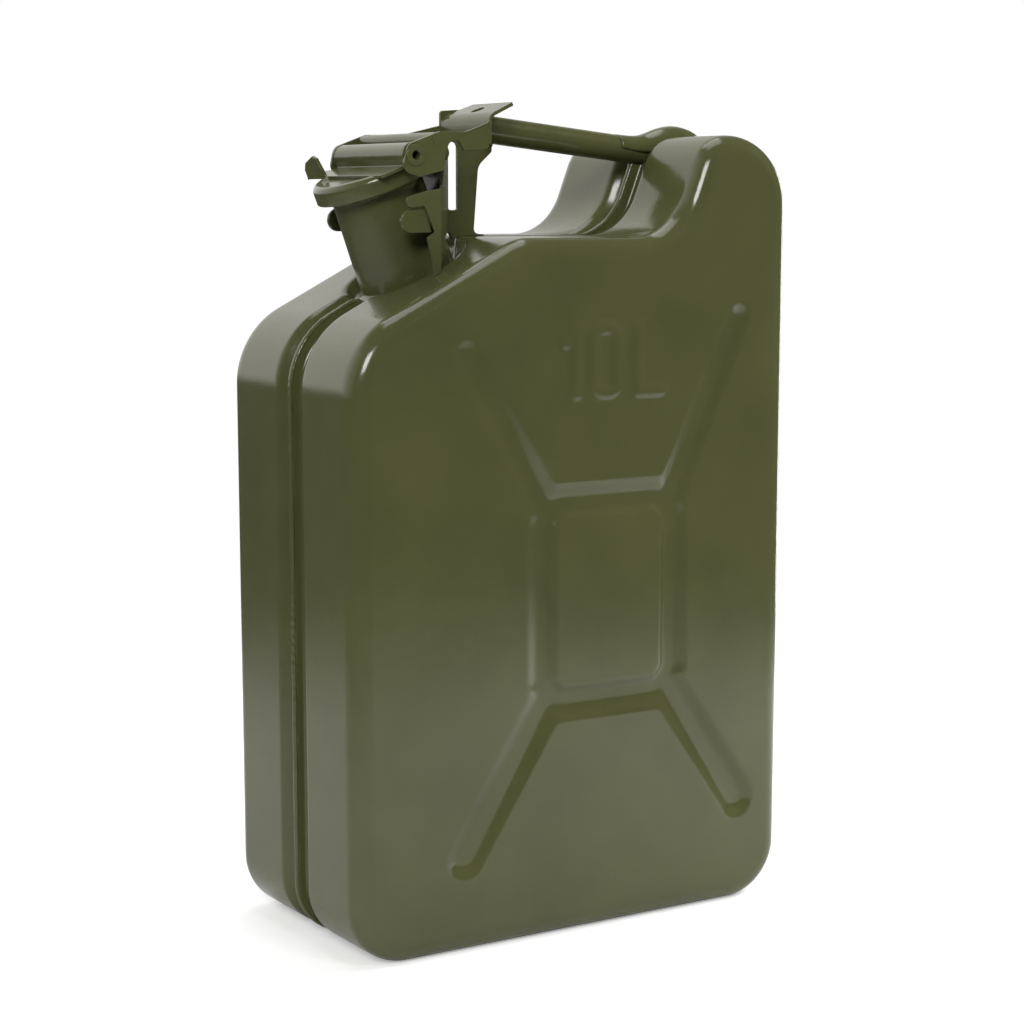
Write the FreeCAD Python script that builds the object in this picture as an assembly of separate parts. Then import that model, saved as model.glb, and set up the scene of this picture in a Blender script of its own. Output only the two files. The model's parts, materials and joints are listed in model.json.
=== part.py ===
"""Ten litre pressed steel jerry can with one tubular handle and a cam lever closure.

Frame: millimetres, +Z up, +X along the wide faces from the spout to the rear end of
the handle, +Y across the thickness. The origin is the middle of the base.
"""

import FreeCAD, Part
import math
import os

from FreeCAD import Placement, Rotation, Vector

# ---------------------------------------------------------------- driving dimensions
WIDTH = 250.0
DEPTH = 128.0
TOP_Z = 390.0
DIP_Z = 341.0
SHOULDER_Z = 294.0
DIP_FRONT_X = -32.0
DIP_REAR_X = 57.0
HUMP_FRONT_X = 76.0
BASE_RADIUS = 29.0
HUMP_RADIUS = 34.0
HUMP_FRONT_RADIUS = 20.0
DIP_RADIUS = 32.0
SHOULDER_RADIUS = 42.0
DIP_FRONT_RADIUS = 25.0
FACE_EDGE_RADIUS = 10.0
SHEET = 1.0

CHANNEL_HALF = 8.0
CHANNEL_DEPTH = 6.0
FLANGE_THICK = 1.2
FLANGE_INSET = 0.4

# pressed pattern of each wide face
PRESS_DEPTH = 2.6
GROOVE_WIDTH = 13.0
PANEL_X = 15.0
PANEL_Z = 166.5
PANEL_HALF_X = 31.5
PANEL_HALF_Z = 42.0
PANEL_RADIUS = 10.0
ARM_ENDS = ((-63.0, 284.0), (92.0, 297.0), (-63.0, 54.0), (94.0, 58.0))

# neck and its own frame: local X points to the rear, local Z along the neck's axis
NECK_LEAN = 21.5
NECK_BASE = Vector(-59.2, 0.0, 320.3)
NECK_BASE_RADIUS = 23.8
NECK_TOP_RADIUS = 22.4
NECK_WALL = 1.5
NECK_TOP = 50.0
NECK_BOTTOM = -4.0
PAD_RADIUS = 27.0
PAD_WALL = 5.0
RIM_RADIUS = 26.5
RIM_TOP = 52.0

# lid, in the neck's frame
CAP_RADIUS = 29.2
CAP_BOTTOM = 48.8
CAP_TOP = 56.3
CAP_ROLL = 4.2
CAP_SHEET = 1.2
BRIDGE_SHEET = 1.6
BRIDGE_HALF = 33.0
BRIDGE_FRONT = -12.0
BRIDGE_REAR = 25.0
FRONT_PLATE_FAR = 43.0
FRONT_PLATE_REAR = -5.2
HINGE_Q = 33.0
HINGE_S = 52.0
HINGE_PIN_RADIUS = 2.0
KNUCKLE_RADIUS = 4.0
LID_KNUCKLE_HALF = 7.4
PIVOT_Q = 6.0
PIVOT_S = 60.75
PIVOT_PIN_RADIUS = 4.3
RUNNING_GAP = 0.06

# lever
LEVER_SHEET = 1.8
ARM_OUTER = 37.0
WEB_X = -28.0
WEB_LOW = 391.6
WEB_BEND_Z = 398.7
WEB_HALF = 23.6
WEB_ROLL = 6.5
TAB_END_X = -11.4
TAB_END_HALF = 18.2
TAB_HOLE_X = -19.7
TAB_HOLE_RADIUS = 3.4
CROSSBAR_Q = 20.0
CROSSBAR_S = 63.0
CROSSBAR_RADIUS = 3.5
CROSSBAR_ROD_RADIUS = 2.0

# hinge bracket and catch lugs
WING_OUTER = 39.4
WING_SHEET = 2.0
WEB_REAR_X = -45.5
LUG_THICK = 2.4

# handle
TUBE_RADIUS = 6.7
TUBE_WALL = 1.5
TUBE_FRONT = Vector(-19.0, 0.0, 393.1)
TUBE_REAR = Vector(79.0, 0.0, 382.7)
STRUT_THICK = 2.4
SADDLE_HALF = 10.0
SADDLE_RISE = 6.0
SADDLE_SHEET = 1.6
SADDLE_FRONT_X = 68.0
SADDLE_REAR_X = 112.0

NECK = Placement(NECK_BASE, Rotation(Vector(0, 1, 0), -NECK_LEAN))
BODY_CORNERS = (
    (-WIDTH / 2, 0.0, BASE_RADIUS),
    (WIDTH / 2, 0.0, BASE_RADIUS),
    (WIDTH / 2, TOP_Z, HUMP_RADIUS),
    (HUMP_FRONT_X, TOP_Z, HUMP_FRONT_RADIUS),
    (DIP_REAR_X, DIP_Z, DIP_RADIUS),
    (DIP_FRONT_X, DIP_Z, DIP_FRONT_RADIUS),
    (-WIDTH / 2, SHOULDER_Z, SHOULDER_RADIUS),
)


# ---------------------------------------------------------------- geometry helpers
def rounded_wire(corners, make_point):
    """Closed wire through corners (a, b, radius), each rounded by a tangent arc."""
    flat = [Vector(a, b, 0) for a, b, _ in corners]
    spans = []
    for i, (_, _, radius) in enumerate(corners):
        here = flat[i]
        back = (flat[i - 1] - here).normalize()
        ahead = (flat[(i + 1) % len(flat)] - here).normalize()
        if radius <= 0:
            spans.append((here, None, here))
            continue
        half = back.getAngle(ahead) / 2
        reach = radius / math.tan(half)
        bisector = (back + ahead).normalize()
        middle = here + bisector * (radius / math.sin(half) - radius)
        spans.append((here + back * reach, middle, here + ahead * reach))
    edges = []
    for i, (start, middle, end) in enumerate(spans):
        if middle is not None:
            points = [make_point(p.x, p.y) for p in (start, middle, end)]
            edges.append(Part.Arc(*points).toShape())
        following = spans[(i + 1) % len(spans)][0]
        if (following - end).Length > 1e-6:
            a = make_point(end.x, end.y)
            b = make_point(following.x, following.y)
            edges.append(Part.LineSegment(a, b).toShape())
    return Part.Wire(edges)


def side_prism(corners, y_from, y_to):
    """Prism of an outline in the XZ plane."""
    wire = rounded_wire(corners, lambda a, b: Vector(a, y_from, b))
    return Part.Face(wire).extrude(Vector(0, y_to - y_from, 0))


def plan_prism(corners, z_from, z_to):
    """Prism of an outline in the XY plane."""
    wire = rounded_wire(corners, lambda a, b: Vector(a, b, z_from))
    return Part.Face(wire).extrude(Vector(0, 0, z_to - z_from))


def box(x0, x1, y0, y1, z0, z1):
    return Part.makeBox(x1 - x0, y1 - y0, z1 - z0, Vector(x0, y0, z0))


def disc_along_y(radius, y_from, y_to, x, z):
    """Cylinder along Y between two Y values."""
    return Part.makeCylinder(radius, y_to - y_from, Vector(x, y_from, z), Vector(0, 1, 0))


def bar_along_y(radius, half, x, z):
    """Cylinder along Y, centred on Y = 0."""
    return disc_along_y(radius, -half, half, x, z)


def revolved(points):
    """Solid of revolution about Z from (radius, height) points."""
    loop = [Vector(r, 0, z) for r, z in points]
    face = Part.Face(Part.makePolygon(loop + loop[:1]))
    return face.revolve(Vector(), Vector(0, 0, 1), 360)


def mirrored(shape):
    return shape.mirror(Vector(), Vector(0, 1, 0))


def in_neck(shape):
    """Moves a shape made in the neck's frame to the can's frame."""
    moved = shape.copy()
    moved.Placement = NECK.multiply(shape.Placement)
    return moved


def neck_point(q, s, y=0.0):
    return NECK.multVec(Vector(q, y, s))


def outline_face(inset, y):
    """The can's side outline, moved inwards by inset, as a face at the given Y."""
    face = Part.Face(rounded_wire(BODY_CORNERS, lambda a, b: Vector(a, y, b)))
    return face.makeOffset2D(-inset) if inset else face


def outline_prism(inset, y_from, y_to):
    return outline_face(inset, y_from).extrude(Vector(0, y_to - y_from, 0))


# ---------------------------------------------------------------- the two shells
def groove(start, end, grow):
    """Round-ended bar that cuts one straight groove into the near wide face."""
    along = end - start
    side = Vector(-along.z, 0, along.x).normalize() * (GROOVE_WIDTH / 2 + grow)
    face_y = -DEPTH / 2 - 1
    depth = Vector(0, PRESS_DEPTH + grow + 1, 0)
    corners = [start + side, end + side, end - side, start - side]
    loop = [Vector(p.x, face_y, p.z) for p in corners]
    bar = Part.Face(Part.makePolygon(loop + loop[:1])).extrude(depth)
    centre = Vector(end.x, face_y, end.z)
    tip = Part.makeCylinder(GROOVE_WIDTH / 2 + grow, depth.y, centre, Vector(0, 1, 0))
    return bar.fuse(tip)


def pressing(grow):
    """Rectangular ring groove with four arms, as a cutting tool for the near face."""
    reach = GROOVE_WIDTH + grow
    y0 = -DEPTH / 2 - 1
    y1 = -DEPTH / 2 + PRESS_DEPTH + grow

    def rectangle(margin, radius):
        x0, x1 = PANEL_X - PANEL_HALF_X - margin, PANEL_X + PANEL_HALF_X + margin
        z0, z1 = PANEL_Z - PANEL_HALF_Z - margin, PANEL_Z + PANEL_HALF_Z + margin
        corners = [(x0, z0, radius), (x1, z0, radius), (x1, z1, radius), (x0, z1, radius)]
        return side_prism(corners, y0, y1)

    tool = rectangle(reach, PANEL_RADIUS).cut(rectangle(-grow, PANEL_RADIUS - grow))
    middle = GROOVE_WIDTH / 2
    for end_x, end_z in ARM_ENDS:
        sign_x = 1 if end_x > PANEL_X else -1
        sign_z = 1 if end_z > PANEL_Z else -1
        start = Vector(
            PANEL_X + sign_x * (PANEL_HALF_X + middle),
            0,
            PANEL_Z + sign_z * (PANEL_HALF_Z + middle),
        )
        tool = tool.fuse(groove(start, Vector(end_x, 0, end_z), grow))
    return tool


def body_solid(inset):
    """The can's form, moved inwards by inset: outline, seam channel, neck pad, pressings."""
    half = DEPTH / 2 - inset
    solid = outline_prism(inset, -half, half)
    rim = [e for e in solid.Edges if abs(abs(e.CenterOfMass.y) - half) < 1e-3]
    solid = solid.makeFillet(FACE_EDGE_RADIUS - inset, rim)

    channel_half = CHANNEL_HALF + inset
    around = box(-WIDTH, WIDTH, -channel_half, channel_half, -50, TOP_Z + 50)
    floor = outline_prism(CHANNEL_DEPTH + inset, -channel_half, channel_half)
    solid = solid.cut(around.cut(floor))

    lift = NECK_TOP
    pocket = Part.makeCone(
        PAD_RADIUS + inset,
        PAD_RADIUS + inset + PAD_WALL * lift / CHANNEL_DEPTH,
        lift,
        Vector(0, 0, -inset),
    )
    solid = solid.cut(in_neck(pocket))

    near = pressing(inset)
    return solid.cut(near).cut(mirrored(near))


def shells():
    """Both pressed halves, each with its half of the seam flange."""
    neck_hole = in_neck(Part.makeCylinder(NECK_BASE_RADIUS, 40, Vector(0, 0, -20)))
    skin = body_solid(0.0).cut(body_solid(SHEET)).cut(neck_hole)
    pad_clear = in_neck(Part.makeCylinder(PAD_RADIUS + PAD_WALL / 2, 60, Vector(0, 0, -20)))
    big = 400.0
    halves = {}
    for name, sign in (("shell_near", -1), ("shell_far", 1)):
        y0, y1 = sorted((0.0, sign * big))
        half = skin.common(box(-big, big, y0, y1, -50, 500))
        f0, f1 = sorted((0.0, sign * FLANGE_THICK))
        outer = outline_prism(FLANGE_INSET, f0, f1)
        inner = outline_prism(CHANNEL_DEPTH + SHEET / 2, f0, f1)
        halves[name] = half.fuse(outer.cut(inner).cut(pad_clear)).removeSplitter()
    return halves, pad_clear


def seam_bead(pad_clear):
    """Weld bead that closes the outer edge of the two seam flanges."""
    half = FLANGE_THICK + 0.25
    outer = outline_prism(0.0, -half, half)
    inner = outline_prism(FLANGE_INSET, -half, half)
    return outer.cut(inner).cut(pad_clear)


# ---------------------------------------------------------------- neck
def neck_cone(inset):
    """Solid cone of the neck's outer form, made smaller by inset."""
    low = NECK_BASE_RADIUS - inset
    high = NECK_TOP_RADIUS - inset
    return in_neck(Part.makeCone(low, high, NECK_TOP - NECK_BOTTOM, Vector(0, 0, NECK_BOTTOM)))


def neck_tube():
    return neck_cone(0.0).cut(neck_cone(NECK_WALL))


def neck_rim():
    """Rolled lip on the neck that the rubber seal presses on."""
    inner = NECK_TOP_RADIUS - NECK_WALL
    ring = revolved([
        (inner, NECK_TOP - 3.5),
        (inner + NECK_WALL + 1.6, NECK_TOP - 3.5),
        (RIM_RADIUS - 1.0, NECK_TOP - 2.2),
        (RIM_RADIUS, NECK_TOP - 1.0),
        (RIM_RADIUS, RIM_TOP - 1.0),
        (RIM_RADIUS - 1.0, RIM_TOP),
        (inner + 0.6, RIM_TOP),
        (inner, RIM_TOP - 0.7),
    ])
    bore = Part.makeCylinder(inner, 20, Vector(0, 0, NECK_TOP - 10))
    return in_neck(ring.cut(bore)).cut(neck_cone(0.0))


def neck_weld():
    """Fillet weld round the foot of the neck."""
    inner = NECK_BASE_RADIUS
    return in_neck(revolved([(inner, 0.0), (inner + 2.2, 0.0), (inner + 0.7, 0.7), (inner, 2.2)]))


def breather_tube():
    """Air pipe from the spout's mouth down to the top of the hump side."""
    radius = 3.0
    wall = 0.8
    points = [(15.5, 40.0), (15.5, -9.0), (28.0, -29.0)]
    world = [neck_point(q, s) for q, s in points]
    pieces = []
    for bore in (radius, radius - wall):
        solid = Part.makeSphere(bore, world[1])
        for a, b in zip(world, world[1:]):
            solid = solid.fuse(Part.makeCylinder(bore, (b - a).Length, a, b - a))
        pieces.append(solid)
    return pieces[0].cut(pieces[1]).removeSplitter()


def breather_clip():
    """Collar round the air pipe with a short tab to the neck's wall."""
    collar = Part.makeCylinder(4.4, 5.0, Vector(15.5, 0, 26.0))
    tab = box(15.5, 21.3, -2.5, 2.5, 26.6, 30.4)
    pipe = Part.makeCylinder(3.0, 20, Vector(15.5, 0, 20))
    return in_neck(collar.fuse(tab).cut(pipe))


# ---------------------------------------------------------------- hinge bracket
def shoulder_height(x):
    slope = (DIP_Z - SHOULDER_Z) / (DIP_FRONT_X + WIDTH / 2)
    return SHOULDER_Z + (x + WIDTH / 2) * slope


def bracket_plan():
    """Plan of the bracket: two wings, two slanted cheeks and the rear web."""
    t = WING_SHEET
    front, bend, rear = -84.0, -64.0, WEB_REAR_X
    wide, narrow = WING_OUTER, 14.0
    outer = [(front, wide), (bend, wide), (rear, narrow)]
    inner = [(rear - t, narrow - t / 3), (bend - t / 3, wide - t), (front, wide - t)]
    loop = outer + [(x, -y) for x, y in reversed(outer)]
    loop += [(x, -y) for x, y in reversed(inner)] + inner
    return [(x, y, 0) for x, y in loop]


def hinge_bracket():
    """Saddle behind the neck with forward hooks, feet and the lid's hinge knuckles."""
    foot_front, foot_rear = -67.5, -61.0
    profile = [
        (foot_front, shoulder_height(foot_front), 0),
        (foot_rear, shoulder_height(foot_rear), 0),
        (-60.0, 336.0, 3),
        (-50.0, 341.0, 3),
        (WEB_REAR_X + 1, 343.0, 0),
        (WEB_REAR_X + 1, 377.2, 0),
        (WEB_REAR_X - 4, 377.2, 0),
        (-53.0, 372.0, 3),
        (-58.0, 364.5, 3),
        (-72.0, 362.5, 2),
        (-83.0, 359.5, 2),
        (-80.5, 354.8, 1.5),
        (-72.6, 355.8, 1.5),
        (-66.8, 343.6, 1),
        (-71.0, 341.2, 1),
        (-68.3, 330.0, 1),
    ]
    strip = plan_prism(bracket_plan(), 300, 400)
    body = strip.common(side_prism(profile, -60, 60))
    hinge = neck_point(HINGE_Q, HINGE_S)
    for sign in (-1, 1):
        middle = sign * (LID_KNUCKLE_HALF + 3.2)
        body = body.fuse(disc_along_y(KNUCKLE_RADIUS, middle - 2.4, middle + 2.4, hinge.x, hinge.z))
    clear = LID_KNUCKLE_HALF + 0.8
    slot = box(-60, WEB_REAR_X + 5, -clear, clear, hinge.z - KNUCKLE_RADIUS - 1.2, 400)
    body = body.cut(slot)
    bore = bar_along_y(HINGE_PIN_RADIUS, 20, hinge.x, hinge.z)
    return body.cut(bore).cut(neck_cone(0.0)).removeSplitter()


def catch_lugs():
    """Round-ended plates inside the wings that hold the closure down."""
    outer = WING_OUTER - WING_SHEET
    outline = [(-84.0, 343.2, 5.5), (-67.5, 343.2, 0), (-70.5, 354.4, 0), (-84.0, 354.4, 5.5)]
    near = side_prism(outline, -outer, -outer + LUG_THICK)
    return Part.makeCompound([near, mirrored(near)])


def hinge_pin():
    hinge = neck_point(HINGE_Q, HINGE_S)
    shank = bar_along_y(HINGE_PIN_RADIUS, 13.0, hinge.x, hinge.z)
    head = disc_along_y(3.2, 13.0, 14.2, hinge.x, hinge.z)
    tail = disc_along_y(2.9, -13.9, -13.0, hinge.x, hinge.z)
    return shank.fuse([head, tail]).removeSplitter()


# ---------------------------------------------------------------- lid
def cap_form(bottom, inset):
    """Solid round form with a rolled upper edge, made smaller by inset."""
    top = CAP_TOP - inset
    form = Part.makeCylinder(CAP_RADIUS - inset, top - bottom, Vector(0, 0, bottom))
    form.rotate(Vector(), Vector(0, 0, 1), 180)
    edge = [e for e in form.Edges if e.CenterOfMass.z > top - 0.01]
    return form.makeFillet(CAP_ROLL - inset, edge)


def lid_cap():
    """Round cap with a rolled edge and a deep skirt, opened at the rear for the hinge."""
    shell = cap_form(CAP_BOTTOM, 0.0).cut(cap_form(CAP_BOTTOM - 2, CAP_SHEET))
    opening = box(26.8, 40, -14, 14, CAP_BOTTOM - 2, CAP_TOP + 2)
    return in_neck(shell.cut(opening))


def lid_seal():
    """Rubber ring under the cap."""
    return in_neck(revolved([
        (17.5, RIM_TOP + 0.1),
        (26.6, RIM_TOP + 0.1),
        (27.2, RIM_TOP + 0.7),
        (27.2, CAP_TOP - 2.7),
        (25.0, CAP_TOP - CAP_SHEET),
        (17.5, CAP_TOP - CAP_SHEET),
    ]))


def seal_retainer():
    """Dished disc that clamps the seal to the cap."""
    top = CAP_TOP - CAP_SHEET
    return in_neck(revolved([
        (2.5, top),
        (17.5, top),
        (17.5, RIM_TOP + 0.1),
        (19.6, RIM_TOP + 0.1),
        (19.6, RIM_TOP - 0.9),
        (16.0, RIM_TOP - 0.9),
        (15.0, top - 1.4),
        (2.5, top - 1.4),
    ]))


def retainer_rivet():
    """Rivet that holds the disc to the cap, with a domed head below."""
    top = CAP_TOP - CAP_SHEET
    return in_neck(revolved([
        (0, top),
        (2.5, top),
        (2.5, top - 1.4),
        (5.0, top - 1.4),
        (4.0, top - 3.4),
        (0, top - 3.8),
    ]))


def strap_ear(low):
    """Ear that stands on the far end of the strap's front edge."""
    far = FRONT_PLATE_FAR
    corners = [
        (24.0, low, 0),
        (far, low, 1.0),
        (far, low + 5.0, 1.0),
        (far - 3.0, low + 8.5, 1.0),
        (31.0, low + 11.7, 1.0),
        (27.5, low + 10.5, 1.0),
        (25.5, low + 5.0, 1.0),
    ]
    wire = rounded_wire(corners, lambda a, b: Vector(BRIDGE_FRONT, a, b))
    return Part.Face(wire).extrude(Vector(BRIDGE_SHEET, 0, 0))


def lid_bridge():
    """Strap over the cap, pressed up round the lever's pin and run back to the hinge."""
    t = BRIDGE_SHEET
    low, high = CAP_TOP, CAP_TOP + t
    roll_in = PIVOT_PIN_RADIUS + RUNNING_GAP
    roll_out = roll_in + t
    half = BRIDGE_HALF
    plan = [
        (BRIDGE_FRONT, -half, 1.5),
        (BRIDGE_REAR - 13, -half, 3),
        (BRIDGE_REAR, -14.0, 3),
        (BRIDGE_REAR, 14.0, 3),
        (BRIDGE_REAR - 13, half, 3),
        (FRONT_PLATE_REAR + 1.8, half, 0),
        (FRONT_PLATE_REAR, FRONT_PLATE_FAR, 2),
        (BRIDGE_FRONT, FRONT_PLATE_FAR, 1),
    ]
    plate = plan_prism(plan, low, high)
    arch = bar_along_y(roll_out, half, PIVOT_Q, PIVOT_S)
    arch = arch.fuse(box(PIVOT_Q - roll_out, PIVOT_Q + roll_out, -half, half, low, PIVOT_S))
    arch = arch.common(box(-50, 50, -50, 50, low, 90))
    bore = bar_along_y(roll_in, 2 * half, PIVOT_Q, PIVOT_S)
    bore = bore.fuse(box(PIVOT_Q - roll_in, PIVOT_Q + roll_in, -60, 60, low - 5, PIVOT_S))
    body = plate.fuse(arch).cut(bore)
    body = body.fuse(strap_ear(low))
    knuckle = bar_along_y(KNUCKLE_RADIUS, LID_KNUCKLE_HALF, HINGE_Q, HINGE_S)
    strap_side = [
        (BRIDGE_REAR - 3, low, 0),
        (28.2, low, 0),
        (HINGE_Q - 3.2, HINGE_S, 0),
        (HINGE_Q + 1.0, HINGE_S + KNUCKLE_RADIUS - 0.3, 0),
        (HINGE_Q - 2.8, high, 0),
        (BRIDGE_REAR - 3, high, 0),
    ]
    strap = side_prism(strap_side, -LID_KNUCKLE_HALF, LID_KNUCKLE_HALF)
    hinge_bore = bar_along_y(HINGE_PIN_RADIUS + RUNNING_GAP, 20, HINGE_Q, HINGE_S)
    body = body.fuse([knuckle, strap]).cut(hinge_bore)
    return in_neck(body.removeSplitter())


# ---------------------------------------------------------------- lever
def tab_top(x):
    """Point of the tab's upper face at x; the face is square to the neck's axis."""
    slope = math.tan(math.radians(NECK_LEAN))
    return Vector(x, 0, WEB_BEND_Z + slope * (x - WEB_X))


def lever_tab():
    """Web and tab of the lever as one rolled sheet, before its plan is trimmed."""
    t = LEVER_SHEET
    down = neck_point(0, -t) - neck_point(0, 0)
    end = tab_top(TAB_END_X)
    under = end + down
    slope = math.tan(math.radians(NECK_LEAN))
    corner_z = under.z - slope * (under.x - WEB_X - t)
    side = [
        (WEB_X, WEB_LOW, 0),
        (WEB_X, WEB_BEND_Z, WEB_ROLL),
        (end.x, end.z, 0.5),
        (under.x, under.z, 0.5),
        (WEB_X + t, corner_z, WEB_ROLL - t),
        (WEB_X + t, WEB_LOW, 0),
    ]
    return side_prism(side, -40, 40)


def tab_hole():
    """Locking hole, square to the tab."""
    axis = neck_point(0, 1) - neck_point(0, 0)
    return Part.makeCylinder(TAB_HOLE_RADIUS, 8, tab_top(TAB_HOLE_X) - axis * 4, axis)


def lever():
    """U-shaped lever: two arms on the pin, a rear web and a thumb tab with a hole."""
    t = LEVER_SHEET
    pivot = neck_point(PIVOT_Q, PIVOT_S)
    outline = [
        (-83.2, 371.5, 5.5),
        (-73.5, 369.0, 3),
        (-60.4, 372.2, 1.5),
        (-59.6, 381.5, 1.0),
        (-55.5, 386.2, 3.0),
        (-50.0, 386.2, 3.0),
        (-46.0, 381.4, 2.0),
        (-27.4, 382.4, 2.5),
        (WEB_X, 394.9, 0.5),
        (-44.3, 390.5, 3.0),
        (-62.8, 390.1, 3.0),
        (-80.0, 384.0, 5.0),
    ]
    outer = ARM_OUTER
    bend_x = -60.0
    far = [
        (-90.0, outer - t, 0),
        (bend_x - 0.3, outer - t, 0),
        (WEB_X - 0.5, WEB_HALF - t, 0),
        (WEB_X + t, WEB_HALF - t, 0),
        (WEB_X + t, WEB_HALF, 0),
        (WEB_X, WEB_HALF, 0),
        (bend_x, outer, 0),
        (-90.0, outer, 0),
    ]
    arm = side_prism(outline, 0, 60).common(plan_prism(far, 300, 450))
    tab_plan = [
        (WEB_X, -WEB_HALF, 0),
        (TAB_END_X + 2, -TAB_END_HALF, 3.5),
        (TAB_END_X + 2, TAB_END_HALF, 3.5),
        (WEB_X, WEB_HALF, 0),
    ]
    tab = lever_tab().common(plan_prism(tab_plan, 380, 420))
    ear = [
        (WEB_X, WEB_LOW - 4, 0),
        (-24.0, WEB_LOW - 4, 0),
        (-16.0, 396.5, 2),
        (-16.0, 402.8, 1.5),
        (WEB_X, 402.0, 1.5),
    ]
    ear = side_prism(ear, WEB_HALF - t, WEB_HALF)
    gusset = box(WEB_X, WEB_X + t, -WEB_HALF, t - WEB_HALF, 385.0, WEB_LOW + 1)
    gussets = [gusset, mirrored(gusset)]
    body = arm.fuse([mirrored(arm), tab, ear] + gussets).cut(tab_hole())
    bore = bar_along_y(PIVOT_PIN_RADIUS, 60, pivot.x, pivot.z)
    bar = neck_point(CROSSBAR_Q, CROSSBAR_S)
    rod_bore = bar_along_y(CROSSBAR_ROD_RADIUS, 60, bar.x, bar.z)
    return body.cut(bore).cut(rod_bore).removeSplitter()


def lever_pin():
    """Hollow pin through both arms, with swaged ends."""
    pivot = neck_point(PIVOT_Q, PIVOT_S)
    shank = bar_along_y(PIVOT_PIN_RADIUS, ARM_OUTER, pivot.x, pivot.z)
    end = disc_along_y(5.0, ARM_OUTER, ARM_OUTER + 0.7, pivot.x, pivot.z)
    bore = bar_along_y(2.1, 60, pivot.x, pivot.z)
    return shank.fuse([end, mirrored(end)]).cut(bore).removeSplitter()


def lever_washers():
    """Flat washers on the pin between the strap's roll and each arm."""
    pivot = neck_point(PIVOT_Q, PIVOT_S)
    far = disc_along_y(6.2, BRIDGE_HALF + 0.25, ARM_OUTER - LEVER_SHEET, pivot.x, pivot.z)
    far = far.cut(bar_along_y(PIVOT_PIN_RADIUS, 60, pivot.x, pivot.z))
    return Part.makeCompound([far, mirrored(far)])


def lever_crossbar():
    """Spacer tube between the arms."""
    bar = neck_point(CROSSBAR_Q, CROSSBAR_S)
    tube = bar_along_y(CROSSBAR_RADIUS, ARM_OUTER - LEVER_SHEET - 0.2, bar.x, bar.z)
    return tube.cut(bar_along_y(CROSSBAR_ROD_RADIUS, 60, bar.x, bar.z))


def crossbar_rod():
    """Rod through the spacer tube, with low heads outside the arms."""
    bar = neck_point(CROSSBAR_Q, CROSSBAR_S)
    rod = bar_along_y(CROSSBAR_ROD_RADIUS, ARM_OUTER, bar.x, bar.z)
    head = disc_along_y(2.6, ARM_OUTER, ARM_OUTER + 0.3, bar.x, bar.z)
    return rod.fuse([head, mirrored(head)]).removeSplitter()


# ---------------------------------------------------------------- handle
def tube_solid(radius, extra=0.0):
    """Round bar on the handle's axis, longer by extra at both ends."""
    length = (TUBE_REAR - TUBE_FRONT).Length + 2 * extra
    along = (TUBE_REAR - TUBE_FRONT).normalize()
    return Part.makeCylinder(radius, length, TUBE_FRONT - along * extra, along)


def saddle_form(offset):
    """Arched form over the seam flange, used as outer and inner surface."""
    half = SADDLE_HALF - offset
    rise = SADDLE_RISE - offset
    span = SADDLE_REAR_X - SADDLE_FRONT_X
    steps = 12
    loop = []
    for i in range(steps + 1):
        turn = math.pi * i / steps
        y = half * math.cos(turn)
        loop.append(Vector(SADDLE_FRONT_X, y, TOP_Z + rise * math.sin(turn)))
    loop.append(Vector(SADDLE_FRONT_X, -half, TOP_Z - 40))
    loop.append(Vector(SADDLE_FRONT_X, half, TOP_Z - 40))
    face = Part.Face(Part.makePolygon(loop + loop[:1]))
    return face.extrude(Vector(span, 0, 0))


def handle_saddle(can):
    """Flared rear end of the handle: an arched plate lying on the hump's front corner."""
    form = saddle_form(0.0).cut(saddle_form(SADDLE_SHEET))
    wide = SADDLE_HALF + 1
    plan = [
        (SADDLE_FRONT_X, -8.0, 3),
        (SADDLE_FRONT_X + 12, -wide, 8),
        (SADDLE_REAR_X - 12, -wide, 8),
        (SADDLE_REAR_X, -3.0, 2),
        (SADDLE_REAR_X, 3.0, 2),
        (SADDLE_REAR_X - 12, wide, 8),
        (SADDLE_FRONT_X + 12, wide, 8),
        (SADDLE_FRONT_X, 8.0, 3),
    ]
    slab = outline_prism(-9.0, -40, 40).cut(outline_prism(0.0, -40, 40))
    form = form.common(plan_prism(plan, 300, 420)).common(slab)
    form = form.cut(can).cut(tube_solid(TUBE_RADIUS, 30.0))
    return max(form.Solids, key=lambda s: s.Volume)


def handle_tube(can, flange_form):
    """Grip tube, trimmed to the hump and the seam flange at its rear end."""
    tube = tube_solid(TUBE_RADIUS).cut(tube_solid(TUBE_RADIUS - TUBE_WALL, 5.0))
    tube = tube.cut(can).cut(flange_form)
    return max(tube.Solids, key=lambda s: s.Volume)


def handle_strut(flange_form):
    """Plate that carries the front of the handle, with a long slot."""
    outline = [
        (-33.4, 337.0, 0),
        (-17.0, 337.0, 0),
        (-17.0, 341.6, 0),
        (-22.9, 342.4, 2.5),
        (-20.2, 375.0, 7),
        (-12.4, 381.8, 2),
        (-12.4, 390.0, 0),
        (-22.0, 390.0, 0),
        (-40.8, 389.6, 4),
        (-40.8, 366.0, 3),
        (WEB_REAR_X, 363.0, 0),
        (WEB_REAR_X, 343.5, 0),
        (-36.5, 342.5, 2),
    ]
    half = STRUT_THICK / 2
    plate = side_prism(outline, -half, half)
    slot = side_prism(
        [(-37.3, 353.6, 1.2), (-31.8, 353.6, 1.2), (-31.8, 386.4, 2.7), (-37.3, 386.4, 2.7)],
        -half - 1,
        half + 1,
    )
    plate = plate.cut(slot).cut(tube_solid(TUBE_RADIUS)).cut(flange_form).cut(neck_cone(0.0))
    return max(plate.Solids, key=lambda s: s.Volume)


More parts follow.
